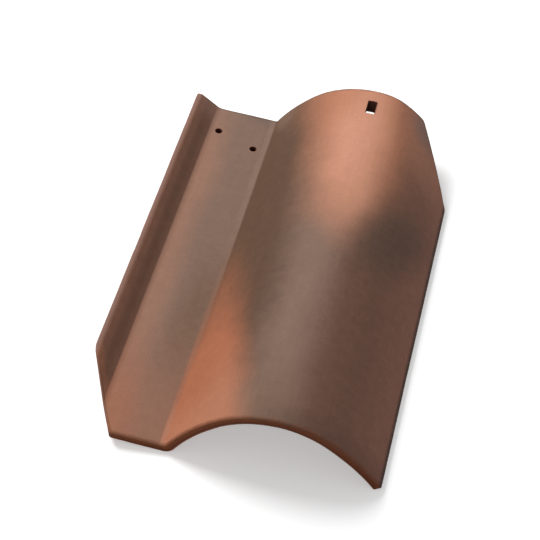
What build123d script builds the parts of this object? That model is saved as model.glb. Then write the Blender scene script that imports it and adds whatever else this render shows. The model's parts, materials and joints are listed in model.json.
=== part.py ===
from build123d import *
from math import asin, atan2, cos, degrees, hypot, radians, sin, tan
import os

# A clay Spanish S roof tile: a flat pan with a turned-up flange on the left, and a barrel on the right.
# One wall of even thickness runs through flange, pan and barrel, straight from the foot to the head.
# Sizes are in millimetres and degrees, and the section is described with the pan level.

# Whole tile
tile_length = 457.0
wall = 9.5

# Flange: slopes up and outwards from the pan, trimmed to a level top and an upright side
flange_rise = 23.0
flange_top = 6.0
flange_angle = 33.0
flange_bend = 10.0

# Pan: width of its underside, from the flange's side to where the crease bends up
pan_width = 88.4
crease_fillet = 2.5

# Barrel: three arcs that run into each other, given by their slopes and inside radii
flank_angle = 61.6
left_shoulder_radius = 166.0
left_crown_angle = 41.8
crown_radius = 83.2
right_crown_angle = 31.2
right_shoulder_radius = 194.0
edge_angle = 49.5

# Arrises: the long edges, and the edges round both ends
long_arris = 2.0
end_arris = 1.2

# Clipped corners, as they are taken off the tile's plan. Before it meets its clip, the head's edge
# already falls away a little.
head_fall_across = 74.0
head_fall = 8.0
head_fall_round = 60.0
head_clip_across = 42.5
head_clip_along = 93.0
head_clip_round = 6.0
foot_clip_across = 39.0
foot_clip_along = 83.0

# Nail holes through the pan, placed from the flange's side and from the head
nail_hole_diameter = 6.4
outer_nail_across = 34.2
outer_nail_back = 36.6
inner_nail_across = 75.4
inner_nail_back = 51.8

# Tie hole through the crown of the barrel, placed from the head and from the crown's middle.
# It leans, so that it comes out nearer to the foot underneath.
tie_hole_across = 9.2
tie_hole_along = 19.0
tie_hole_corner = 1.0
tie_hole_back = 27.0
tie_hole_aside = 1.9
tie_hole_lean = 35.0

# The flange's underside runs parallel to its sloping face, and meets the pan's at the bend
slope = radians(flange_angle)
bend_radius = flange_bend + wall
flange_under = Vector(flange_top - wall * sin(slope), flange_rise - wall * cos(slope))
pan_corner = flange_under.X + flange_under.Y / tan(slope)
bend_reach = bend_radius * tan(slope / 2)
bend_start = Vector(pan_corner - bend_reach * cos(slope), bend_reach * sin(slope))
trim = 3 * wall

with BuildSketch() as section:
    # The underside as one smooth line, which the wall then thickens upwards
    with BuildLine():
        flange = Line(flange_under + Vector(-trim * cos(slope), trim * sin(slope)), bend_start)
        bend = JernArc(flange @ 1, flange % 1, bend_radius, flange_angle)
        pan = Line(bend @ 1, (pan_width, 0))
        crease = JernArc(pan @ 1, pan % 1, crease_fillet + wall, flank_angle)
        left_shoulder = JernArc(
            crease @ 1, crease % 1, left_shoulder_radius, left_crown_angle - flank_angle
        )
        crown = JernArc(
            left_shoulder @ 1,
            left_shoulder % 1,
            crown_radius,
            -left_crown_angle - right_crown_angle,
        )
        right_shoulder = JernArc(
            crown @ 1, crown % 1, right_shoulder_radius, right_crown_angle - edge_angle
        )
        offset(amount=wall, side=Side.LEFT)
    make_face()
    # The flange's end is trimmed upright at the side and level at the top
    with Locations((0, flange_rise)):
        Rectangle(trim * 2, trim * 4, align=(Align.MAX, Align.CENTER), mode=Mode.SUBTRACT)
        Rectangle(trim, trim * 2, align=(Align.CENTER, Align.MIN), mode=Mode.SUBTRACT)
    corners = section.vertices().sort_by(Axis.X)
    flange_corners = corners.group_by(Axis.X)[0] + [
        corners.sort_by_distance((flange_top, flange_rise))[0]
    ]
    fillet(flange_corners + corners[-2:], long_arris)

# Unheld on a level floor, the tile tips to the right until the underside of its crease and the
# lower arris of the barrel's edge both touch: the floor is tangent to a circle at each.
crease_centre = Vector(pan_width, crease_fillet + wall)
edge_tangent = right_shoulder % 1
edge_normal = Vector(-edge_tangent.Y, edge_tangent.X)
edge_centre = (right_shoulder @ 1) + (edge_normal - edge_tangent) * long_arris
span = edge_centre - crease_centre
lean = asin((crease_centre.Y - long_arris) / hypot(span.X, span.Y))
rest_tilt = degrees(atan2(span.Y, span.X) + lean)


# Planes of the tile as it rests: the section's, upright, and the plan's, on the pan's underside.
# Their origin puts the middle of the tile's box at X = 0, with its base on the floor.
across = Vector(cos(radians(rest_tilt)), 0, -sin(radians(rest_tilt)))
pan_normal = Vector(-across.Z, 0, across.X)
resting = section.sketch.rotate(Axis.Z, -rest_tilt).bounding_box()
rest_origin = (-resting.center().X, 0, -resting.min.Y)
section_plane = Plane(origin=rest_origin, x_dir=across, z_dir=(0, -1, 0))
plan_plane = Plane(origin=rest_origin, x_dir=across, z_dir=pan_normal)

tile_width = section.sketch.bounding_box().max.X
head = tile_length / 2
foot = -tile_length / 2
head_clip_slope = (head_clip_along - head_fall) / head_clip_across
crown_top = crown.arc_center.Y + crown_radius + wall
margin = wall
tie_lean = radians(tie_hole_lean)
tie_axis = pan_normal * cos(tie_lean) + Vector(0, sin(tie_lean), 0)

with BuildPart() as tile:
    # The section runs past both ends, and the plan's outline cuts it to length and clips its corners
    with BuildSketch(section_plane):
        add(section.sketch)
    extrude(amount=tile_length, both=True)
    with BuildSketch(plan_plane) as plan:
        with BuildLine():
            Polyline(
                (-margin, head),
                (tile_width - head_fall_across, head),
                (tile_width - head_clip_across, head - head_fall),
                (tile_width + margin, head - head_clip_along - margin * head_clip_slope),
                (tile_width + margin, foot),
                (foot_clip_across, foot),
                (-margin, foot + foot_clip_along * (1 + margin / foot_clip_across)),
                close=True,
            )
        make_face()
        fall_corner = plan.vertices().sort_by_distance((tile_width - head_fall_across, head))[0]
        fillet(fall_corner, head_fall_round)
        clip_corner = plan.vertices().sort_by_distance(
            (tile_width - head_clip_across, head - head_fall)
        )[0]
        fillet(clip_corner, head_clip_round)
    extrude(amount=tile_width, both=True, mode=Mode.INTERSECT)

    # Edges round both ends and along the clips
    cut_faces = tile.faces().filter_by(
        lambda face: abs(face.normal_at().Y) > 0.1 and abs(face.normal_at().dot(pan_normal)) < 0.01
    )
    fillet(cut_faces.edges(), end_arris)

    # Nail holes, square to the pan
    with Locations(plan_plane.offset(wall)):
        with Locations(
            (outer_nail_across, head - outer_nail_back),
            (inner_nail_across, head - inner_nail_back),
        ):
            Hole(nail_hole_diameter / 2)

    # Tie hole, leaning back from the top of the crown
    with BuildSketch(plan_plane.offset(crown_top)):
        with Locations((crown.arc_center.X - tie_hole_aside, head - tie_hole_back)):
            RectangleRounded(tie_hole_across, tie_hole_along, tie_hole_corner)
    extrude(amount=2 * wall, dir=tie_axis, both=True, mode=Mode.SUBTRACT)

tile.part.label = "tile"
os.makedirs("parts", exist_ok=True)
export_step(tile.part, "parts/tile.step")

box = tile.part.bounding_box()
print("rest tilt", round(rest_tilt, 3), "box", box.min, box.max)
print("volume", round(tile.part.volume), "centre", tile.part.center())
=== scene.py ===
# %% [markdown]
# A clay roof tile of the Spanish S kind, seen from its foot. A flat pan on the left carries the rain,
# a turned-up flange closes the pan's side, and the barrel on the right covers the next tile's flange.
# The CAD part gives its size and its place. This lesson draws the same section again, sweeps it along
# the tile with Geometry Nodes, so that worn edges and drag marks can be laid on it, and then gives it
# the soft brown and salmon bloom of a tile that was flashed in the kiln.

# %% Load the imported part
import bpy
import bmesh
import json
import math
from mathutils import Matrix, Vector


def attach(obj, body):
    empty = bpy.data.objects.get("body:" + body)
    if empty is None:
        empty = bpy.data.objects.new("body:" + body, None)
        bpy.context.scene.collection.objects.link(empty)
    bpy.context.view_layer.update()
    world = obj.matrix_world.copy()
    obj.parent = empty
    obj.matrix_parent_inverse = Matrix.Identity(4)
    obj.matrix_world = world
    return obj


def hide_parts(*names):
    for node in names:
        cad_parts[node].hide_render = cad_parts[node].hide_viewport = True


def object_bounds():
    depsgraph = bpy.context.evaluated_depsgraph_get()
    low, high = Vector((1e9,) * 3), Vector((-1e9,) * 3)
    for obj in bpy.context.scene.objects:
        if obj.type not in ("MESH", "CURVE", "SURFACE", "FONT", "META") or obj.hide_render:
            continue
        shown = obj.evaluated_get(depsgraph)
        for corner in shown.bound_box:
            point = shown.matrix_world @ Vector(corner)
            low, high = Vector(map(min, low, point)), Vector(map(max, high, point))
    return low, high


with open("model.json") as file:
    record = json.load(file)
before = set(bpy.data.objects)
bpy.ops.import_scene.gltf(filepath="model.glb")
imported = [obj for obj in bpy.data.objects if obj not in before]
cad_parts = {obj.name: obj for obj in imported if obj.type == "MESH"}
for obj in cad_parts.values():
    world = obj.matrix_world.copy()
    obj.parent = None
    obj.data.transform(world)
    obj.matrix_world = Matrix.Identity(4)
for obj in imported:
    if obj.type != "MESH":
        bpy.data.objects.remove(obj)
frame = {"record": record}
cad_low, cad_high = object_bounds()
mounts = {mount["name"]: mount for mount in frame["record"]["mounts"]}
print("CAD box", [round(size, 4) for size in cad_high - cad_low])

# %% [markdown]
# The camera comes first, because everything else is judged through it. It stands beyond the tile's
# foot, a little to the right, and looks down at about 45 degrees through a long lens, so the two
# long sides stay almost parallel. A track quaternion turns it from its place towards a point on the
# tile, and a very small roll levels it the way the photographer held it.

# %% Camera
MM = 0.001
camera_place = Vector((252.7, -1149.2, 1208.5)) * MM
camera_aim = Vector((-5.7, -18.0, 35.5)) * MM
camera_roll = math.radians(0.05)
camera_lens = 114.5
camera_sensor = 36.0

camera_data = bpy.data.cameras.new("camera")
camera_data.lens = camera_lens
camera_data.sensor_width = camera_sensor
camera = bpy.data.objects.new("camera", camera_data)
bpy.context.scene.collection.objects.link(camera)
camera.rotation_mode = "QUATERNION"
camera.location = camera_place
camera_turn = (camera_aim - camera_place).to_track_quat("-Z", "Y").to_matrix()
camera.rotation_quaternion = (camera_turn @ Matrix.Rotation(camera_roll, 3, "Z")).to_quaternion()
bpy.context.scene.camera = camera
print("camera stands", round((camera_aim - camera_place).length, 2), "m from the tile")

# %% [markdown]
# These are the tile's own sizes. The frame gives what it can: the length is the CAD box's, the
# pan's tilt is the nail holes' direction, and the wall is the length of a nail hole. The rest
# describes the section, with the pan level: the flange slopes at 33 degrees, the crease turns up by
# 61.6 degrees, and three arcs of different radius run into each other over the barrel.

# %% Sizes of the tile
tile_length = (cad_high - cad_low).y
wall = mounts["outer_nail_hole"]["dims"]["length_mm"] * MM
flange_rise = 23.0 * MM
flange_top = 6.0 * MM
flange_angle = math.radians(33.0)
flange_bend = 10.0 * MM
pan_width = 88.4 * MM
crease_fillet = 2.5 * MM
flank_angle = math.radians(61.6)
left_shoulder_radius = 166.0 * MM
left_crown_angle = math.radians(41.8)
crown_radius = 83.2 * MM
right_crown_angle = math.radians(31.2)
right_shoulder_radius = 194.0 * MM
edge_angle = math.radians(49.5)
long_arris = 2.0 * MM
end_arris = 1.2 * MM
head_fall_across = 74.0 * MM
head_fall = 8.0 * MM
head_fall_softness = 3.0 * MM
head_clip_across = 42.5 * MM
head_clip_along = 93.0 * MM
head_clip_softness = 5.0 * MM
foot_clip_across = 39.0 * MM
foot_clip_along = 83.0 * MM
print("tile", round(tile_length / MM), "mm long with a wall of", round(wall / MM, 1), "mm")

# %% [markdown]
# An extruded tile leaves its die as one endless strip, so its shape is a section and nothing else.
# The underside is walked as a chain of straights and arcs that run into each other, and the upper
# face is the same walk one wall higher. Each stop of the walk notes its place and the direction
# square to it, so that the two faces always match.

# %% Walk the underside of the section
fine_step = 2.2 * MM
coarsest_turn = math.radians(8.0)
bend_radius = flange_bend + wall
under_x = flange_top - wall * math.sin(flange_angle)
under_y = flange_rise - wall * math.cos(flange_angle)
flange_under = Vector((under_x, under_y))
bend_reach = bend_radius * math.tan(flange_angle / 2)
flange_run = flange_under.y / math.sin(flange_angle) - bend_reach
pan_start = flange_under.x + flange_under.y / math.tan(flange_angle) + bend_reach

walk = [
    (flange_run, 0.0),
    (bend_radius * flange_angle, flange_angle),
    (pan_width - pan_start, 0.0),
    ((crease_fillet + wall) * flank_angle, flank_angle),
    (left_shoulder_radius * (flank_angle - left_crown_angle), left_crown_angle - flank_angle),
    (crown_radius * (left_crown_angle + right_crown_angle), -left_crown_angle - right_crown_angle),
    (right_shoulder_radius * (edge_angle - right_crown_angle), right_crown_angle - edge_angle),
]


def stop_at(distance):
    """Place and upward normal on the underside, this far along the walk from the flange."""
    place = flange_under.copy()
    heading = -flange_angle
    for length, turn in walk:
        part = min(distance, length) if (length, turn) != walk[-1] else distance
        turned = turn * part / length
        chord = part if turn == 0 else 2 * length / turn * math.sin(turned / 2)
        place += chord * Vector((math.cos(heading + turned / 2), math.sin(heading + turned / 2)))
        heading += turned
        distance -= part
        if distance <= 0:
            break
    return place, Vector((-math.sin(heading), math.cos(heading)))


flange_heart = (wall / 2 - flange_under.x) / math.cos(flange_angle) - wall / 2 * math.tan(flange_angle)
walk_length = sum(length for length, turn in walk)
barrel_heart = walk_length - wall / 2
stops = [flange_heart]
walked = 0.0
for length, turn in walk:
    steps = max(math.ceil(length / fine_step), math.ceil(abs(turn) / coarsest_turn))
    stops += [walked + length * step / steps for step in range(1, steps + 1)]
    walked += length
last_stop = walk_length - long_arris
stops = [stop for stop in sorted(set(stops)) if flange_heart <= stop < last_stop - fine_step / 2]
stops.append(last_stop)
print(len(stops), "stops over", round(walk_length / MM, 1), "mm of underside")

# %% [markdown]
# The walk gives two faces; the rims close them. The flange's rim is trimmed upright at the side and
# level on top, the barrel's is cut square, and every corner is rounded like a thumbed clay edge.
# Each point also remembers the middle of the wall nearest to it. That is where the end faces will
# close, because a section that shrinks onto its own middle line leaves no hole and no long thin face.

# %% Close the section with its two rims
corner_steps = 5


def rounded(before, corner, after):
    """Points of the arc that rounds one corner by the long arris, in walking order."""
    back = (before - corner).normalized()
    onward = (after - corner).normalized()
    half = back.angle(onward) / 2
    centre = corner + (back + onward).normalized() * long_arris / math.sin(half)
    first = corner + back * long_arris / math.tan(half) - centre
    turn = -first.angle_signed(corner + onward * long_arris / math.tan(half) - centre)
    swings = [Matrix.Rotation(turn * step / corner_steps, 2) for step in range(corner_steps + 1)]
    return [centre + swing @ first for swing in swings]


def rim(before, corners, after):
    """Points round an end of the wall, between its two faces, with no gap much over the fine step."""
    line = [before, *corners, after]
    rough = []
    for index in range(1, len(line) - 1):
        rough += rounded(*line[index - 1:index + 2])
    points = []
    for place, following in zip(rough, [*rough[1:], None]):
        points.append(place)
        gap = 0 if following is None else (following - place).length
        parts = round(gap / fine_step)
        points += [place.lerp(following, part / parts) for part in range(1, parts)]
    return points


faces = [stop_at(stop) for stop in stops]
under_face = [place for place, normal in faces]
upper_face = [place + normal * wall for place, normal in faces]
barrel_end, barrel_normal = stop_at(walk_length)
side_height = flange_under.y + flange_under.x * math.tan(flange_angle)
flange_corners = [Vector((0, side_height)), Vector((0, flange_rise)), Vector((flange_top, flange_rise))]
flange_rim = rim(under_face[0], flange_corners, upper_face[0])
barrel_rim = rim(upper_face[-1], [barrel_end + barrel_normal * wall, barrel_end], under_face[-1])
outline = upper_face + barrel_rim + under_face[::-1] + flange_rim


def middle_at(stop):
    """Middle of the wall at a stop, kept half a wall away from both rims."""
    place, normal = stop_at(min(max(stop, flange_heart), barrel_heart))
    return place + normal * wall / 2


face_middles = [middle_at(stop) for stop in stops]
middles = face_middles + [face_middles[-1]] * len(barrel_rim)
middles += face_middles[::-1] + [face_middles[0]] * len(flange_rim)
on_rim = [0.0] * len(stops) + [1.0] * len(barrel_rim) + [0.0] * len(stops) + [1.0] * len(flange_rim)
faces_up = [1.0] * (len(stops) + len(barrel_rim)) + [0.0] * len(stops) + [1.0] * len(flange_rim)
print("section outline has", len(outline), "points")

# %% [markdown]
# The outline now goes to its place. The tile doesn't lie with its pan level: left alone on a floor
# it tips until the crease and the barrel's lower edge both touch. The record's mounts carry that
# tilt, so the two directions of the section come from there. The outline becomes a mesh with only
# vertices and edges, and the middles travel with it as an attribute.

# %% Set the section in the frame
pan_normal = Vector(mounts["outer_nail_hole"]["axis"]).normalized()
across = Vector((pan_normal.z, 0, -pan_normal.x))
along = Vector((0, 1, 0))
origin = Vector(mounts["pan_underside"]["pos_m"]) - across * (pan_start + pan_width) / 2
tile_width = max(point.x for point in outline)


def in_frame(point):
    """A point of the section, given with the pan level, where it is in the shared frame."""
    return origin + across * point.x + pan_normal * point.y


section_mesh = bpy.data.meshes.new("tile section")
loop_edges = [(index, (index + 1) % len(outline)) for index in range(len(outline))]
section_mesh.from_pydata([in_frame(point) for point in outline], loop_edges, [])
middle_values = section_mesh.attributes.new("middle", "FLOAT_VECTOR", "POINT")
middle_values.data.foreach_set("vector", [value for point in middles for value in in_frame(point)])
for name, values in (("rim", on_rim), ("upper", faces_up)):
    section_mesh.attributes.new(name, "FLOAT", "POINT").data.foreach_set("value", values)
tile = bpy.data.objects.new("spanish_tile", section_mesh)
bpy.context.scene.collection.objects.link(tile)
print("pan tips by", round(math.degrees(math.asin(pan_normal.x)), 2), "degrees, tile is",
      round(tile_width / MM, 1), "mm wide")

# %% [markdown]
# Geometry Nodes will do the rest, and its trees are easier to read as arithmetic. These helpers add
# a node, link or set its sockets, and wrap a socket so that plus, minus and times make Math nodes.
# They serve the materials too, because both kinds of tree share those nodes.

# %% Helpers for node trees
class Field:
    """A socket of a node tree that can be reckoned with."""

    def __init__(self, tree, socket):
        self.tree = tree
        self.socket = socket

    def step(self, kind, operation, others=(), output=0, **options):
        """A new node of this kind, fed by this field and then the others."""
        inputs = dict(enumerate((self, *others)))
        made = add(self.tree, kind, inputs, operation=operation, **options)
        return Field(self.tree, made.outputs[output])

    def maths(self, operation, *others):
        return self.step("ShaderNodeMath", operation, others)

    def __add__(self, other):
        return self.maths("ADD", other)

    def __sub__(self, other):
        return self.maths("SUBTRACT", other)

    def __mul__(self, other):
        return self.maths("MULTIPLY", other)

    def __truediv__(self, other):
        return self.maths("DIVIDE", other)

    def vector(self, operation, *others):
        output = "Value" if operation in ("DOT_PRODUCT", "LENGTH") else "Vector"
        return self.step("ShaderNodeVectorMath", operation, others, output)

    def scaled(self, factor):
        made = add(self.tree, "ShaderNodeVectorMath", {0: self, "Scale": factor}, operation="SCALE")
        return Field(self.tree, made.outputs["Vector"])


def add(tree, kind, inputs=None, **options):
    """Add a node to the right of the last one, set its options, and link or set its inputs."""
    made = tree.nodes.new(kind)
    made.location = (200 * len(tree.nodes), 0)
    for name, value in options.items():
        setattr(made, name, value)
    for name, value in (inputs or {}).items():
        if isinstance(value, Field):
            value = value.socket
        if isinstance(value, bpy.types.NodeSocket):
            tree.links.new(value, made.inputs[name])
        else:
            made.inputs[name].default_value = value
    return made


def between(value, low, high, start=0.0, end=1.0, smooth=True):
    """Start up to low, end from high on, and a ramp in between, soft at both ends if smooth."""
    kind = "SMOOTHSTEP" if smooth else "LINEAR"
    inputs = {"Value": value, "From Min": low, "From Max": high, "To Min": start, "To Max": end}
    made = add(value.tree, "ShaderNodeMapRange", inputs, interpolation_type=kind)
    return Field(value.tree, made.outputs["Result"])


print("helpers made for nodes, fields and ramps")

# %% [markdown]
# The tree starts with its named inputs, one for each size of the tile's plan, so that the ends can be
# changed in the modifier panel. The section travels along a straight line of many points. Each row
# of points knows its number, and the number says what the row does: the outermost rows close the end
# face, the next few round its edge, and all others are spread evenly along the tile.

# %% Begin the tile's tree
body_rows = 176
arris_rows = 5
cap_rows = 4
merge_distance = 0.001 * MM
tree = bpy.data.node_groups.new("Spanish tile", "GeometryNodeTree")
tree.interface.new_socket("Section", in_out="INPUT", socket_type="NodeSocketGeometry")
sizes = {
    "Length": tile_length,
    "Width": tile_width,
    "End Arris": end_arris,
    "Head Fall Across": head_fall_across,
    "Head Fall": head_fall,
    "Head Clip Across": head_clip_across,
    "Head Clip Along": head_clip_along,
    "Head Fall Softness": head_fall_softness,
    "Head Clip Softness": head_clip_softness,
    "Foot Clip Across": foot_clip_across,
    "Foot Clip Along": foot_clip_along,
}
directions = {"Origin": origin, "Across": across, "Pan Normal": pan_normal}
for name in sizes:
    tree.interface.new_socket(name, in_out="INPUT", socket_type="NodeSocketFloat")
for name in directions:
    tree.interface.new_socket(name, in_out="INPUT", socket_type="NodeSocketVector")
tree.interface.new_socket("Finish", in_out="INPUT", socket_type="NodeSocketMaterial")
tree.interface.new_socket("Tile", in_out="OUTPUT", socket_type="NodeSocketGeometry")
group_input = add(tree, "NodeGroupInput")


def given(name):
    """A named input of the tree as a field."""
    return Field(tree, group_input.outputs[name])


def attribute(name, data_type="FLOAT"):
    """A value that the points carry under this name."""
    made = add(tree, "GeometryNodeInputNamedAttribute", {"Name": name}, data_type=data_type)
    return Field(tree, made.outputs["Attribute"])


def keep(geometry, name, value, data_type="FLOAT"):
    """Store a field on the points under a name."""
    inputs = {"Geometry": geometry, "Name": name, "Value": value}
    return add(tree, "GeometryNodeStoreNamedAttribute", inputs, data_type=data_type).outputs["Geometry"]


row_count = body_rows + 2 * (arris_rows + cap_rows) + 1
end_rows = arris_rows + cap_rows
path = add(tree, "GeometryNodeCurvePrimitiveLine", {"Start": -along, "End": along})
rows = add(tree, "GeometryNodeResampleCurve", {"Curve": path.outputs[0], "Count": row_count})
numbered = keep(rows.outputs[0], "row", add(tree, "GeometryNodeInputIndex").outputs[0])
section = add(tree, "GeometryNodeMeshToCurve", {"Mesh": group_input.outputs["Section"]})
position = add(tree, "GeometryNodeInputPosition").outputs[0]
placed = keep(section.outputs[0], "place", position, "FLOAT_VECTOR")
tube = add(tree, "GeometryNodeCurveToMesh", {"Curve": numbered, "Profile Curve": placed})
print(row_count, "rows of", len(outline), "points")

# %% [markdown]
# Now each point is moved where it belongs. First it sinks from the face towards the middle of the
# wall: by nothing in the body rows, by a quarter circle in the arris rows, and all the way in the
# end face. Then its place across the tile says how far the plan's outline lets it go. The head's
# edge is straight, falls away a little on the barrel's right, and is then clipped; the lowest of the
# three lines counts, and a soft minimum rounds the corners between them. The foot has one clip.

# %% Shape the ends to the plan's outline
quarter_turn = math.pi / 2
row = attribute("row")
from_end = row.maths("MINIMUM", (row - (row_count - 1)) * -1.0)
closing = between(from_end, 0.0, cap_rows, 1.0, 0.0, smooth=False)
swing = between(from_end, cap_rows, end_rows, 0.0, quarter_turn, smooth=False)
sunk = given("End Arris") - given("End Arris") * swing.maths("SINE")
run = given("End Arris") - given("End Arris") * swing.maths("COSINE")
share = between(row, end_rows, row_count - 1 - end_rows, smooth=False)

place = attribute("place", "FLOAT_VECTOR")
middle = attribute("middle", "FLOAT_VECTOR")
inward = middle.vector("SUBTRACT", place).vector("NORMALIZE")
rounded_place = place.vector("ADD", inward.scaled(sunk))
end_place = rounded_place.vector("ADD", middle.vector("SUBTRACT", rounded_place).scaled(closing))
from_side = end_place.vector("SUBTRACT", given("Origin")).vector("DOT_PRODUCT", given("Across"))


def set_back(slope):
    """How far a slanting edge steps back along the tile for the arris, at this slope."""
    return run / slope.maths("ARCTANGENT").maths("COSINE")


half_length = given("Length") * 0.5
from_right = given("Width") - from_side
fall_slope = given("Head Fall") / (given("Head Fall Across") - given("Head Clip Across"))
falling_head = half_length - fall_slope * (given("Head Fall Across") - from_right) - set_back(fall_slope)
clip_slope = (given("Head Clip Along") - given("Head Fall")) / given("Head Clip Across")
clipped_head = half_length - given("Head Clip Along") + clip_slope * from_right - set_back(clip_slope)
head_edge = falling_head.maths("SMOOTH_MIN", half_length - run, given("Head Fall Softness"))
head_limit = head_edge.maths("SMOOTH_MIN", clipped_head, given("Head Clip Softness"))

foot_slant = given("Foot Clip Along") / given("Foot Clip Across")
slanted_foot = foot_slant * (given("Foot Clip Across") - from_side) + set_back(foot_slant)
foot_limit = slanted_foot.maths("MAXIMUM", run) - half_length

lengthwise = foot_limit + (head_limit - foot_limit) * share
forward = add(tree, "ShaderNodeCombineXYZ", {"Y": lengthwise}).outputs[0]
swept_place = end_place.vector("ADD", forward)
swept = add(tree, "GeometryNodeSetPosition", {"Geometry": tube.outputs[0], "Position": swept_place})
merged = {"Geometry": swept.outputs[0], "Distance": merge_distance}
closed = add(tree, "GeometryNodeMergeByDistance", merged)
print("tree has", len(tree.nodes), "nodes")

# %% [markdown]
# Fired clay is never as true as its drawing. The strip drags in the die and gets long shallow lines,
# it sags a little as it dries, and its edges are dented when the tiles are stacked. Noise textures
# make all of this, pushed along the surface's normal and only ever inwards, so that the tile keeps
# its size. The lines come from noise that is stretched along the tile. Three values go along for
# the finish: where an edge is rounded, where a face is cut, and how high in the wall a point lies.

# %% Lay drag marks, sag and worn edges on the surface
sag_depth = 0.14 * MM
drag_depth = 0.08 * MM
grain_depth = 0.07 * MM
dent_depth = 0.22 * MM
chip_depth = 0.80 * MM
sag_waves = 7.0
drag_waves = 150.0
grain_waves = 60.0
dent_waves = 38.0
chip_waves = 95.0
drag_stretch = (1.0, 0.05, 1.0)


def noise(where, waves, detail=2.0, roughness=0.5):
    """Soft noise from 0 to 1, at so many waves to the unit that the place is measured in."""
    inputs = {"Vector": where, "Scale": waves, "Detail": detail, "Roughness": roughness}
    return Field(where.tree, add(where.tree, "ShaderNodeTexNoise", inputs).outputs[0])


here = Field(tree, add(tree, "GeometryNodeInputPosition").outputs[0])
facing = Field(tree, add(tree, "GeometryNodeInputNormal").outputs[0])
sag = noise(here, sag_waves, 1.0) * sag_depth
drag = noise(here.vector("MULTIPLY", drag_stretch), drag_waves) * drag_depth
grain = noise(here, grain_waves, 3.0) * grain_depth
entering = between(from_end, cap_rows - 1, cap_rows + 2)
leaving = between(from_end, end_rows - 1, end_rows + 1, 1.0, 0.0)
edge = (entering * leaving).maths("MAXIMUM", attribute("rim"))
before_body = between(from_end, end_rows, end_rows + 1, 1.0, 0.0)
rounded_edge = (entering * before_body).maths("MAXIMUM", attribute("rim"))
dents = between(noise(here, dent_waves), 0.45, 0.75) * dent_depth
chips = between(noise(here, chip_waves, 3.0), 0.66, 0.74) * chip_depth
depth = sag + drag + grain + edge * (dents + chips)
offset = facing.scaled(depth * -1.0)
marked = keep(closed.outputs[0], "arris", rounded_edge)
marked = keep(marked, "cut_face", closing.maths("GREATER_THAN", 0.01))
height_in_wall = (attribute("upper") - 0.5) * (closing * -1.0 + 1.0) + 0.5
marked = keep(marked, "upper", height_in_wall)
worn = add(tree, "GeometryNodeSetPosition", {"Geometry": marked, "Offset": offset})
print("deepest wear", round((sag_depth + drag_depth + grain_depth + dent_depth + chip_depth) / MM, 2), "mm")

# %% [markdown]
# The holes are punched while the clay is soft. Two round ones take the nails through the pan, and a
# slot in the crown takes the tie wire; it leans, so its way out is nearer to the foot. The punch
# drags the skin down with it, so each mouth is a little wider than its hole. One small rule makes
# all the cutters: an outline, swept down a line, that opens near the upper face.

# %% Punch the holes
mouth_depth = 0.9 * MM
nail_mouth_flare = 0.8 * MM
tie_mouth_flare = 0.5 * MM
clearance = 3.0 * MM
cutter_rows = 48
nail_hole_sides = 40
tie_corner_cuts = 5
tie_hole_across = 9.2 * MM
tie_hole_along = 19.0 * MM
tie_hole_corner = 1.0 * MM
nail_holes = ("outer_nail_hole", "inner_nail_hole")
nail_radius = mounts["outer_nail_hole"]["dims"]["r_mm"] * MM


def constant_vector(value):
    """A fixed direction as a field."""
    made = add(tree, "ShaderNodeVectorMath", {0: tuple(value)}, operation="ADD")
    return Field(tree, made.outputs["Vector"])


def cutter(outline_curve, top, axis, mouth_flare):
    """A plug of this outline down the axis, given in the frame, with a wider mouth at its top."""
    start = -wall - clearance
    line = add(tree, "GeometryNodeCurvePrimitiveLine", {"Start": (0, 0, start), "End": (0, 0, clearance)})
    steps = add(tree, "GeometryNodeResampleCurve", {"Curve": line.outputs[0], "Count": cutter_rows})
    spot = Field(tree, add(tree, "GeometryNodeInputPosition").outputs[0])
    levels = keep(steps.outputs[0], "level", spot.vector("DOT_PRODUCT", (0, 0, 1)))
    shape = keep(outline_curve, "outline", spot, "FLOAT_VECTOR")
    inputs = {"Curve": levels, "Profile Curve": shape, "Fill Caps": True}
    plug = add(tree, "GeometryNodeCurveToMesh", inputs)
    level = attribute("level")
    punched = attribute("outline", "FLOAT_VECTOR")
    flare = between(level, -mouth_depth, 0.0, 0.0, mouth_flare)
    spread = punched.vector("ADD", punched.vector("NORMALIZE").scaled(flare))
    sideways = constant_vector(across).scaled(spread.vector("DOT_PRODUCT", (1, 0, 0)))
    lengthways = constant_vector(along).scaled(spread.vector("DOT_PRODUCT", (0, 1, 0)))
    down = constant_vector(axis / axis.dot(pan_normal)).scaled(level)
    put = sideways.vector("ADD", lengthways).vector("ADD", down).vector("ADD", tuple(top))
    made = add(tree, "GeometryNodeSetPosition", {"Geometry": plug.outputs[0], "Position": put})
    punched_faces = {"Geometry": made.outputs[0], "Name": "punched", "Value": 1.0}
    stored = add(tree, "GeometryNodeStoreNamedAttribute", punched_faces, data_type="FLOAT", domain="FACE")
    return stored.outputs[0]


cutters = []
nail_outline = {"Resolution": nail_hole_sides, "Radius": nail_radius}
for name in nail_holes:
    circle = add(tree, "GeometryNodeCurvePrimitiveCircle", nail_outline)
    top = Vector(mounts[name]["pos_m"]) + pan_normal * wall / 2
    cutters.append(cutter(circle.outputs[0], top, pan_normal, nail_mouth_flare))
slot_size = {"Width": tie_hole_across, "Height": tie_hole_along}
slot = add(tree, "GeometryNodeCurvePrimitiveQuadrilateral", slot_size)
slot_corners = {"Curve": slot.outputs[0], "Count": tie_corner_cuts, "Radius": tie_hole_corner}
slot_round = add(tree, "GeometryNodeFilletCurve", slot_corners, mode="POLY")
slot_outline = add(tree, "GeometryNodeReverseCurve", {"Curve": slot_round.outputs[0]})
tie_mount = mounts["tie_hole"]
tie_top = Vector(tie_mount["pos_m"])
tie_axis = Vector(tie_mount["axis"])
cutters.append(cutter(slot_outline.outputs[0], tie_top, tie_axis, tie_mouth_flare))

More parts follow.
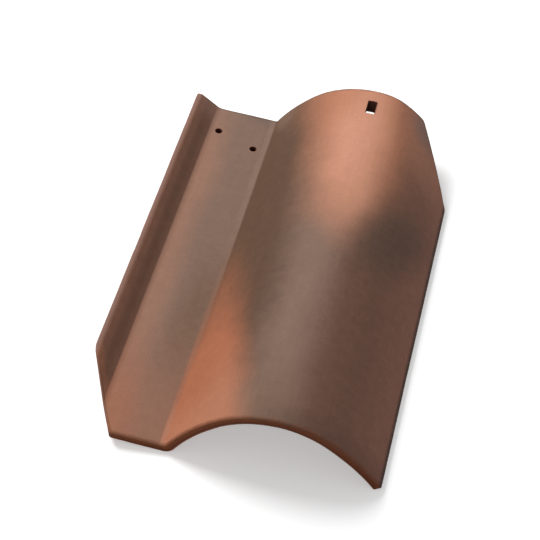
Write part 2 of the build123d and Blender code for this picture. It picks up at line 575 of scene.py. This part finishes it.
punch = add(tree, "GeometryNodeMeshBoolean", {"Mesh 1": worn.outputs[0]}, operation="DIFFERENCE")
for plug in cutters:
    tree.links.new(plug, punch.inputs["Mesh 2"])
print(len(cutters), "holes punched through", round(wall / MM, 1), "mm of clay")

# %% [markdown]
# The tree ends the way every tree here does: faces are shaded smooth, only true corners such as the
# rims of the holes stay sharp, instances are made real and the finish is set. The result is then
# taken out of the modifier as a plain mesh, because the exported part must not depend on the tree.

# %% Finish the tree and take out the plain mesh
sharp_from = math.radians(38.0)
clay = bpy.data.materials.new("flashed clay")
clay.use_nodes = True
smooth = add(tree, "GeometryNodeSetShadeSmooth", {"Geometry": punch.outputs["Mesh"]})
bend = Field(tree, add(tree, "GeometryNodeInputMeshEdgeAngle").outputs["Unsigned Angle"])
sharp = bend.maths("GREATER_THAN", sharp_from)
creases = {"Geometry": smooth.outputs[0], "Name": "sharp_edge", "Value": sharp}
creased = add(tree, "GeometryNodeStoreNamedAttribute", creases, data_type="BOOLEAN", domain="EDGE")
real = add(tree, "GeometryNodeRealizeInstances", {"Geometry": creased.outputs[0]})
finish = {"Geometry": real.outputs[0], "Material": group_input.outputs["Finish"]}
finished = add(tree, "GeometryNodeSetMaterial", finish)
add(tree, "NodeGroupOutput", {"Tile": finished.outputs[0]})

modifier = tile.modifiers.new("Spanish tile", "NODES")
modifier.node_group = tree
for item in tree.interface.items_tree:
    if item.in_out == "INPUT" and item.name in sizes:
        modifier[item.identifier] = sizes[item.name]
    elif item.in_out == "INPUT" and item.name in directions:
        modifier[item.identifier] = list(directions[item.name])
    elif item.name == "Finish":
        modifier[item.identifier] = clay
depsgraph = bpy.context.evaluated_depsgraph_get()
plain = bpy.data.meshes.new_from_object(tile.evaluated_get(depsgraph), depsgraph=depsgraph)
tile.modifiers.clear()
tile.data = plain
for name in ("row", "place", "middle", "rim", "level", "outline"):
    spare = plain.attributes.get(name)
    if spare is not None:
        plain.attributes.remove(spare)

check = bmesh.new()
check.from_mesh(plain)
open_edges = sum(not joint.is_manifold for joint in check.edges)
triangles = sum(len(face.verts) - 2 for face in check.faces)
print("tile mesh:", triangles, "triangles,", open_edges, "open edges,",
      round(check.calc_volume(signed=True) * 1e6, 1), "cm3, attributes", plain.attributes.keys())
check.free()

# %% [markdown]
# The tile is a red-brown earthenware that was flashed: for a while the kiln burns with too little
# air, and smoke turns the clay from orange through salmon to ash grey and dark brown, in soft clouds
# where the flame went by. Nothing is painted on it. So the colour is built the same way, as a few
# wide soft clouds laid over each other, then the grain of the clay on top. The colours are named
# first, written as a screen shows them and turned into the linear values that light works with.

# %% Name the colours of the fired clay
def tone(red, green, blue):
    """A screen colour from 0 to 255 as linear values with full cover."""
    parts = [part / 255 for part in (red, green, blue)]
    linear = [part / 12.92 if part <= 0.04045 else ((part + 0.055) / 1.055) ** 2.4 for part in parts]
    return (*linear, 1.0)


smoke_brown = tone(104, 77, 60)
deep_smoke = tone(108, 83, 70)
flank_brown = tone(125, 91, 76)
edge_brown = tone(151, 106, 90)
ash = tone(155, 126, 110)
dull_ash = tone(142, 112, 93)
pink_ash = tone(180, 137, 116)
foot_pink = tone(187, 127, 99)
salmon = tone(232, 170, 141)
apricot = tone(205, 138, 106)
fire_orange = tone(184, 115, 83)
pale_orange = tone(197, 133, 103)
shoulder_red = tone(168, 120, 99)
flange_brown = tone(131, 96, 80)
flange_shade = tone(121, 88, 72)
worn_lip = tone(160, 122, 108)
raw_clay = tone(178, 116, 88)
cut_clay = tone(133, 74, 44)
cut_shade = tone(92, 48, 32)
head_grey = tone(138, 114, 104)
# The next colour darkens grog pits and is also the painted shade inside the holes.
pit_clay_and_hole_shade = tone(72, 40, 30)
pale_ash = tone(168, 140, 125)
edge_darkening = tone(82, 62, 55)
print("colours from deep smoke", [round(part, 2) for part in deep_smoke[:3]],
      "to salmon", [round(part, 2) for part in salmon[:3]])

# %% [markdown]
# A cloud is an oval on the tile's plan. A Mapping node set to Texture moves, turns and shrinks the
# coordinates until the oval is a circle of size one, and the distance from its middle fades the
# cloud out. The coordinates are shifted by soft noise beforehand, so that no outline looks drawn.
# All of this uses the object's own coordinates, taken to millimetres, so it needs no picture: across
# the tile they grow to the right from its middle, and along it they grow from its middle to the head.

# %% Begin the clay's material
waver_waves = 0.012
waver_reach = 22.0
clay_tree = clay.node_tree
clay_tree.nodes.clear()
coordinates = add(clay_tree, "ShaderNodeTexCoord")
point = Field(clay_tree, coordinates.outputs["Object"]).scaled(1.0 / MM)
waver = add(clay_tree, "ShaderNodeTexNoise", {"Vector": point, "Scale": waver_waves, "Detail": 3.0})
shift = Field(clay_tree, waver.outputs["Color"]).vector("SUBTRACT", (0.5, 0.5, 0.5)).scaled(waver_reach)
plan = point.vector("ADD", shift).vector("MULTIPLY", (1.0, 1.0, 0.0))
steady = add(clay_tree, "ShaderNodeSeparateXYZ", {0: point})
steady_x = Field(clay_tree, steady.outputs["X"])
steady_y = Field(clay_tree, steady.outputs["Y"])
drifting = add(clay_tree, "ShaderNodeSeparateXYZ", {0: plan})
drift_x = Field(clay_tree, drifting.outputs["X"])
drift_y = Field(clay_tree, drifting.outputs["Y"])


def cloud(centre, half, turn=0.0, core=0.3):
    """One inside an oval of the plan, in millimetres and degrees, fading to nought at its outline."""
    inputs = {"Vector": plan, "Location": (*centre, 0.0), "Scale": (*half, 1.0)}
    inputs["Rotation"] = (0.0, 0.0, math.radians(turn))
    laid = add(clay_tree, "ShaderNodeMapping", inputs, vector_type="TEXTURE")
    far = Field(clay_tree, laid.outputs[0]).vector("LENGTH")
    return between(far, core, 1.0, 1.0, 0.0)


def blend(under, over, share):
    """Lay one colour over another where the share is one."""
    made = add(clay_tree, "ShaderNodeMix", {0: share, 6: under, 7: over}, data_type="RGBA")
    return Field(clay_tree, made.outputs[2])


def marked_as(name):
    """A value that the mesh carries, for the material."""
    made = add(clay_tree, "ShaderNodeAttribute", attribute_name=name)
    return Field(clay_tree, made.outputs["Fac"])


print("clouds waver by", waver_reach / 2, "mm at most")

# %% [markdown]
# On the barrel the flame came over the crown from the head: the heart is salmon with an apricot
# fringe, and it stops half way down. A long smoke-brown band runs down the left flank and turns
# across the barrel, an ash-grey ridge follows the crown to the foot, and the right flank is a
# reddish brown with one smoky patch. A wedge of plain orange opens from the crease towards the foot,
# and the foot's edge on the right darkens a little. The later a cloud is laid, the more it shows.

# %% Flash the barrel
ridge = between(drift_x, -15.0, 38.0)
barrel = blend(smoke_brown, ash, ridge)
barrel = blend(barrel, flank_brown, between(drift_x, 40.0, 84.0))
barrel = blend(barrel, edge_brown, between(steady_x, 96.0, 146.0))
barrel = blend(barrel, dull_ash, cloud((34, -232), (46, 110), core=0.1) * 0.8)
barrel = blend(barrel, shoulder_red, cloud((126, 196), (50, 96), 0, 0.35))
barrel = blend(barrel, apricot, cloud((46, 172), (72, 200), 5, 0.25))
barrel = blend(barrel, salmon, cloud((46, 160), (46, 195), 5, 0.18))
barrel = blend(barrel, apricot, cloud((8, 226), (68, 76), 0, 0.1) * 0.6)
barrel = blend(barrel, head_grey, cloud((114, 208), (22, 38), 0, 0.2) * 0.8)
barrel = blend(barrel, smoke_brown, cloud((-52, 130), (43, 210), 2, 0.3) * 0.9)
barrel = blend(barrel, smoke_brown, cloud((12, 130), (30, 60), 0, 0) * 0.18)
barrel = blend(barrel, dull_ash, cloud((-43, 216), (14, 28), 0, 0.2) * 0.5)
barrel = blend(barrel, smoke_brown, cloud((4, -75), (28, 66), 15, 0.1) * 0.45)
barrel = blend(barrel, apricot, cloud((24, 50), (44, 42), 0, 0.0) * 0.13)
barrel = blend(barrel, ash, cloud((14, -206), (20, 30), 0, 0.1) * 0.3)
barrel = blend(barrel, deep_smoke, cloud((101, 33), (47, 86), -20, 0.15))

wedge_border = (-43.0, 0.0, 0.0)
wedge_direction = (-0.965, -0.263, 0.0)
wedge_softness = 19.0
wedge_side = plan.vector("SUBTRACT", wedge_border).vector("DOT_PRODUCT", wedge_direction)
wedge = between(wedge_side, -wedge_softness, wedge_softness)
wedge = wedge * between(drift_y, 44.0, -118.0, smooth=False)
beside_crease = between(steady_x, -58.0, -46.0, 1.0, 0.0) * between(steady_y, -150.0, -100.0)
wedge = wedge * (beside_crease * -0.35 + 1.0)
flame = blend(fire_orange, pale_orange, between(drift_x, -45.0, 5.0) * between(drift_y, -90.0, -220.0))
flame = blend(flame, pale_orange, between(drift_y, -170.0, -235.0) * 0.7)
barrel = blend(barrel, flame, wedge)
low_flank = between(steady_y, -196.0, -226.0) * between(steady_x, 14.0, 64.0)
barrel = blend(barrel, edge_darkening, low_flank * 0.3)
print("barrel drawn with", sum(node.type == "MIX" for node in clay_tree.nodes), "blends")

# %% [markdown]
# The pan lay deeper in the kiln's draught and is a quieter mix of ash and pink, pinker towards the
# flange and the foot. Where the pan meets the crease a thin lighter line runs down the tile: a painted
# highlight, where the crease turns up towards the lamp. The flange's inner face stayed in the smoke,
# and its lip was rubbed pale again; inside the lip and beside the clip at the foot a trace of the red
# clay shows. These borders follow the tile's shape, so they use the coordinates without the waver.

# %% Flash the pan and the flange
crease_border = (-53.2, -56.2)
bend_border = (-118.6, -120.4)
lip_border = (-137.4, -138.6)
foot_clip_direction = (0.906, 0.423, 0.0)
away_from_head = between(drift_y, 160.0, 240.0, 1.0, 0.5)
pan_colour = blend(ash, pink_ash, between(drift_x, -84.0, -116.0) * away_from_head)
pan_colour = blend(pan_colour, dull_ash, cloud((-70, -75), (30, 130), 0, 0.1) * 0.9)
toward_foot = between(drift_y, -60.0, -240.0) * between(drift_x, -76.0, -108.0, 0.5, 0.9)
pan_colour = blend(pan_colour, foot_pink, toward_foot)
# Painted highlight: a thin lighter line on the pan beside the crease, pink, and salmon towards the foot.
crease_highlight = between(steady_x, -60.0, -57.6) * between(drift_y, 20.0, -170.0, 0.1, 0.9)
pan_colour = blend(pan_colour, foot_pink, crease_highlight)
pan_colour = blend(pan_colour, salmon, crease_highlight * between(drift_y, -160.0, -215.0) * 0.4)
pan_colour = blend(pan_colour, head_grey, cloud((-64, 234), (34, 26), 0, 0.1) * 0.9)
# Painted highlight: the same lighter line beside the crease, in pale ash towards the head.
crease_highlight_headward = between(steady_x, -62.0, -59.0) * between(drift_y, 10.0, 80.0)
pan_colour = blend(pan_colour, pale_ash, crease_highlight_headward * 0.5)

shaded_strip = between(steady_x, -121.0, -126.0) * between(steady_x, -132.0, -128.0)
flange_colour = blend(flange_brown, flange_shade, shaded_strip)
flange_colour = blend(flange_colour, worn_lip, between(drift_y, 186.0, 236.0) * 0.7)
rubbed_red = between(steady_x, -139.5, -137.0) * between(steady_x, -128.0, -134.0)
flange_colour = blend(flange_colour, raw_clay, rubbed_red * 0.14)
from_clip = point.vector("DOT_PRODUCT", foot_clip_direction)
beside_clip = between(from_clip, -188.0, -181.0, 1.0, 0.0)
flange_colour = blend(flange_colour, raw_clay, beside_clip * 0.35)
flange_colour = blend(flange_colour, worn_lip, between(steady_x, *lip_border))
upper_colour = blend(barrel, pan_colour, between(steady_x, *crease_border))
upper_colour = blend(upper_colour, flange_colour, between(steady_x, *bend_border))
print("borders at the crease and at the flange's bend")

# %% [markdown]
# The flame hardly reached the underside, so it keeps the plain red clay with a few drifts of smoke.
# The faces at head and foot were sawn through by a wire. They are darker, because a torn face is
# rough and drinks light, and painted light and shade make them lighter, unevenly, towards their upper
# edge and darker below, and a little darker on the barrel's right.

# %% Colour the underside and the cut faces
haze_waves = 0.014
torn_waves = 0.9
haze = noise(point.vector("MULTIPLY", (1.0, 0.4, 1.0)), haze_waves)
smoky = between(haze, 0.42, 0.68)
under_colour = blend(raw_clay, dull_ash, smoky * 0.75)
body_colour = blend(under_colour, upper_colour, marked_as("upper"))
torn = noise(point.vector("MULTIPLY", (1.0, 1.0, 0.25)), torn_waves, 3.0, 0.7)
ragged_height = marked_as("upper") + (torn - 0.5) * 0.5
# Painted light and shade: each cut face is lighter towards its upper edge and darker below.
lit_from_above = between(ragged_height, 0.0, 0.7) * between(steady_x, 0.0, 70.0, 1.0, 0.75)
torn_and_shaded_colour = blend(cut_shade, cut_clay, lit_from_above)
body_colour = blend(body_colour, torn_and_shaded_colour, marked_as("cut_face"))
print("underside and cuts joined on")

# %% [markdown]
# The punch pushed a little dry clay out round the mouths of the nail holes, which fired paler than
# the smoked skin. It shows as a thin light ring. The walls and mouths of all three holes get a dark
# clay colour: the clay is torn there, and the dark is also painted shade, as hardly any light falls in.

# %% Ring the nail holes and darken the walls of the holes
ring_start = 3.4
ring_end = 6.0


def ringed(name):
    """One close round a hole of the record, fading to nought at the ring's end, in millimetres."""
    spot = Vector(mounts[name]["pos_m"]) / MM
    gap = point.vector("SUBTRACT", tuple(spot)).vector("MULTIPLY", (1.0, 1.0, 0.0)).vector("LENGTH")
    return between(gap, ring_start, ring_end, 1.0, 0.0)


outer_ring, inner_ring = [ringed(name) for name in nail_holes]
rings = outer_ring.maths("MAXIMUM", inner_ring)
body_colour = blend(body_colour, pale_ash, rings * marked_as("upper") * 0.35)
# Painted shade: the walls and mouths of the holes are coloured dark.
body_colour = blend(body_colour, pit_clay_and_hole_shade, marked_as("punched"))
print("pale rings of", ring_end, "mm radius round the nail holes")

# %% [markdown]
# Clay has a grain. Sand and grog make fine light and dark specks, and the die leaves faint lines
# along the tile. Each only changes the brightness by a few hundredths, the specks by about twice as
# much where the clay is smoked, but together they keep the surface from looking airbrushed. The same
# noises drive the roughness and the bump, so that specks are also felt. The arrises are different
# again: red brown at the foot, and darker in patches elsewhere, most along the barrel's outer edge
# and not at all on the flange's lip.

# %% Lay the grain over the colours
speck_waves = 0.55
mottle_waves = 0.11
line_waves = 0.42
line_stretch = (1.0, 0.03, 1.0)
grog_waves = 0.28
nick_waves = 0.16
specks = noise(point, speck_waves, 4.0, 0.65)
mottle = noise(point, mottle_waves, 3.0, 0.6)
lines = noise(point.vector("MULTIPLY", line_stretch), line_waves, 3.0, 0.6)
lightness = add(clay_tree, "ShaderNodeRGBToBW", {"Color": body_colour})
smoked_share = between(Field(clay_tree, lightness.outputs[0]), 0.10, 0.34, 1.0, 0.0)
speckled = (specks - 0.5) * (smoked_share * 0.18 + 0.16)
mottled = (mottle - 0.5) * (smoked_share * 0.20 + 0.16)
brightness = speckled + mottled + (lines - 0.5) * 0.12 + 0.935
grained = body_colour.scaled(brightness)

grog = add(clay_tree, "ShaderNodeTexVoronoi", {"Vector": point, "Scale": grog_waves})
grain_far = Field(clay_tree, grog.outputs["Distance"])
pits = between(grain_far, 0.10, 0.20, 1.0, 0.0) * between(mottle, 0.48, 0.60)
grained = blend(grained, pit_clay_and_hole_shade, pits * 0.3)

nicks = between(noise(point, nick_waves, 4.0, 0.65), 0.30, 0.56)
arris = between(marked_as("arris") * between(mottle, 0.35, 0.65, 0.6, 1.4), 0.1, 1.0)
off_lip = between(steady_x, -136.0, -130.0)
at_foot = between(steady_y, -206.0, -216.0)
grained = blend(grained, cut_clay, arris * at_foot * 0.5)
darkened_arris = arris * off_lip * (at_foot * -1.0 + 1.0) * between(nicks, 0.0, 1.0, 0.3, 0.6)
right_side = between(steady_x, 139.2, 141.6) * marked_as("upper")
right_side = right_side * between(nicks, 0.0, 1.0, 0.7, 1.0)
grained = blend(grained, edge_darkening, darkened_arris.maths("MAXIMUM", right_side))
print("grain, die lines, pits and edge wear laid on")

# %% [markdown]
# Fired clay without a glaze is rough all over and mirrors almost nothing. The Principled shader gets
# a high roughness that wavers with the grain, and a low fixed specular level. The bump is real size:
# the specks stand a tenth of a millimetre high and the die lines less, and a cut face is rougher.

# %% Finish the clay
roughness = (specks - 0.5) * 0.30 + 0.80
relief = specks * 0.16 + lines * 0.10 - pits * 0.25 + torn * marked_as("cut_face") * 0.6
bump = add(clay_tree, "ShaderNodeBump", {"Height": relief, "Distance": MM, "Strength": 0.8})
inputs = {"Base Color": grained, "Roughness": roughness, "Normal": bump.outputs[0]}
inputs.update({"Specular IOR Level": 0.15, "Diffuse Roughness": 0.5})
shader = add(clay_tree, "ShaderNodeBsdfPrincipled", inputs)
add(clay_tree, "ShaderNodeOutputMaterial", {"Surface": shader.outputs[0]})
print("clay material has", len(clay_tree.nodes), "nodes")

# %% [markdown]
# The tile lies on a plain pale floor under one large soft lamp and an even white sky. The lamp
# stands behind the tile on the flange's side, so faces that look up or to the left are bright, and
# the barrel's right flank and the foot's cut face fall into soft shade. The two together light a
# level face at just about one, so that a colour renders as it is written: a soft lamp lights a face
# that is turned to it by its watts over the square of its distance times pi, which gives its power.
# The white backdrop is only what the camera and reflections see of the floor and the sky, and adds
# no light.

# %% Floor, sky and lamp
sky_light = 0.36
lamp_share = 0.64
lamp_place = Vector((-1.55, 1.05, 2.15))
lamp_size = 1.5
floor_size = 12.0
floor_colour = (0.86, 0.86, 0.86, 1.0)
floor_glow = 0.40


def seen_directly(tree):
    """One for rays from the camera and from reflections, and nought for rays that carry light."""
    rays = add(tree, "ShaderNodeLightPath")
    seen = Field(tree, rays.outputs["Is Camera Ray"])
    seen = seen.maths("MAXIMUM", Field(tree, rays.outputs["Is Glossy Ray"]))
    return seen.maths("MAXIMUM", Field(tree, rays.outputs["Is Transmission Ray"]))


world = bpy.data.worlds.new("white sky")
world.use_nodes = True
world.node_tree.nodes.clear()
sky = seen_directly(world.node_tree) * (1.0 - sky_light) + sky_light
background = add(world.node_tree, "ShaderNodeBackground", {"Color": (1.0, 1.0, 1.0, 1.0), "Strength": sky})
add(world.node_tree, "ShaderNodeOutputWorld", {"Surface": background.outputs[0]})
bpy.context.scene.world = world

floor_finish = bpy.data.materials.new("pale floor")
floor_finish.use_nodes = True
floor_tree = floor_finish.node_tree
floor_tree.nodes.clear()
matte = add(floor_tree, "ShaderNodeBsdfDiffuse", {"Color": floor_colour})
glow = add(floor_tree, "ShaderNodeEmission", {"Strength": seen_directly(floor_tree) * floor_glow})
both = add(floor_tree, "ShaderNodeAddShader", {0: matte.outputs[0], 1: glow.outputs[0]})
add(floor_tree, "ShaderNodeOutputMaterial", {"Surface": both.outputs[0]})

half_floor = floor_size / 2
floor_mesh = bpy.data.meshes.new("floor")
floor_corners = [(-half_floor, -half_floor, 0), (half_floor, -half_floor, 0),
                 (half_floor, half_floor, 0), (-half_floor, half_floor, 0)]
floor_mesh.from_pydata(floor_corners, [], [(0, 1, 2, 3)])
floor_mesh.materials.append(floor_finish)
floor = bpy.data.objects.new("floor", floor_mesh)
bpy.context.scene.collection.objects.link(floor)

lamp_data = bpy.data.lights.new("soft lamp", "AREA")
lamp_data.shape = "DISK"
lamp_data.size = lamp_size
lamp_distance = lamp_place.length
level_share = lamp_place.z / lamp_distance
lamp_data.energy = lamp_share * math.pi ** 2 * lamp_distance ** 2 / level_share
lamp = bpy.data.objects.new("soft lamp", lamp_data)
lamp.location = lamp_place
lamp.rotation_mode = "QUATERNION"
lamp.rotation_quaternion = (-lamp_place).to_track_quat("-Z", "Y")
bpy.context.scene.collection.objects.link(lamp)
bpy.context.scene.view_settings.view_transform = "Standard"
print("lamp of", round(lamp_data.energy), "W at", round(lamp_distance, 2), "m")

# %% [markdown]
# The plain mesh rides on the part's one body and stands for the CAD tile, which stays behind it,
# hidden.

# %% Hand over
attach(tile, "root")
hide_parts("tile")
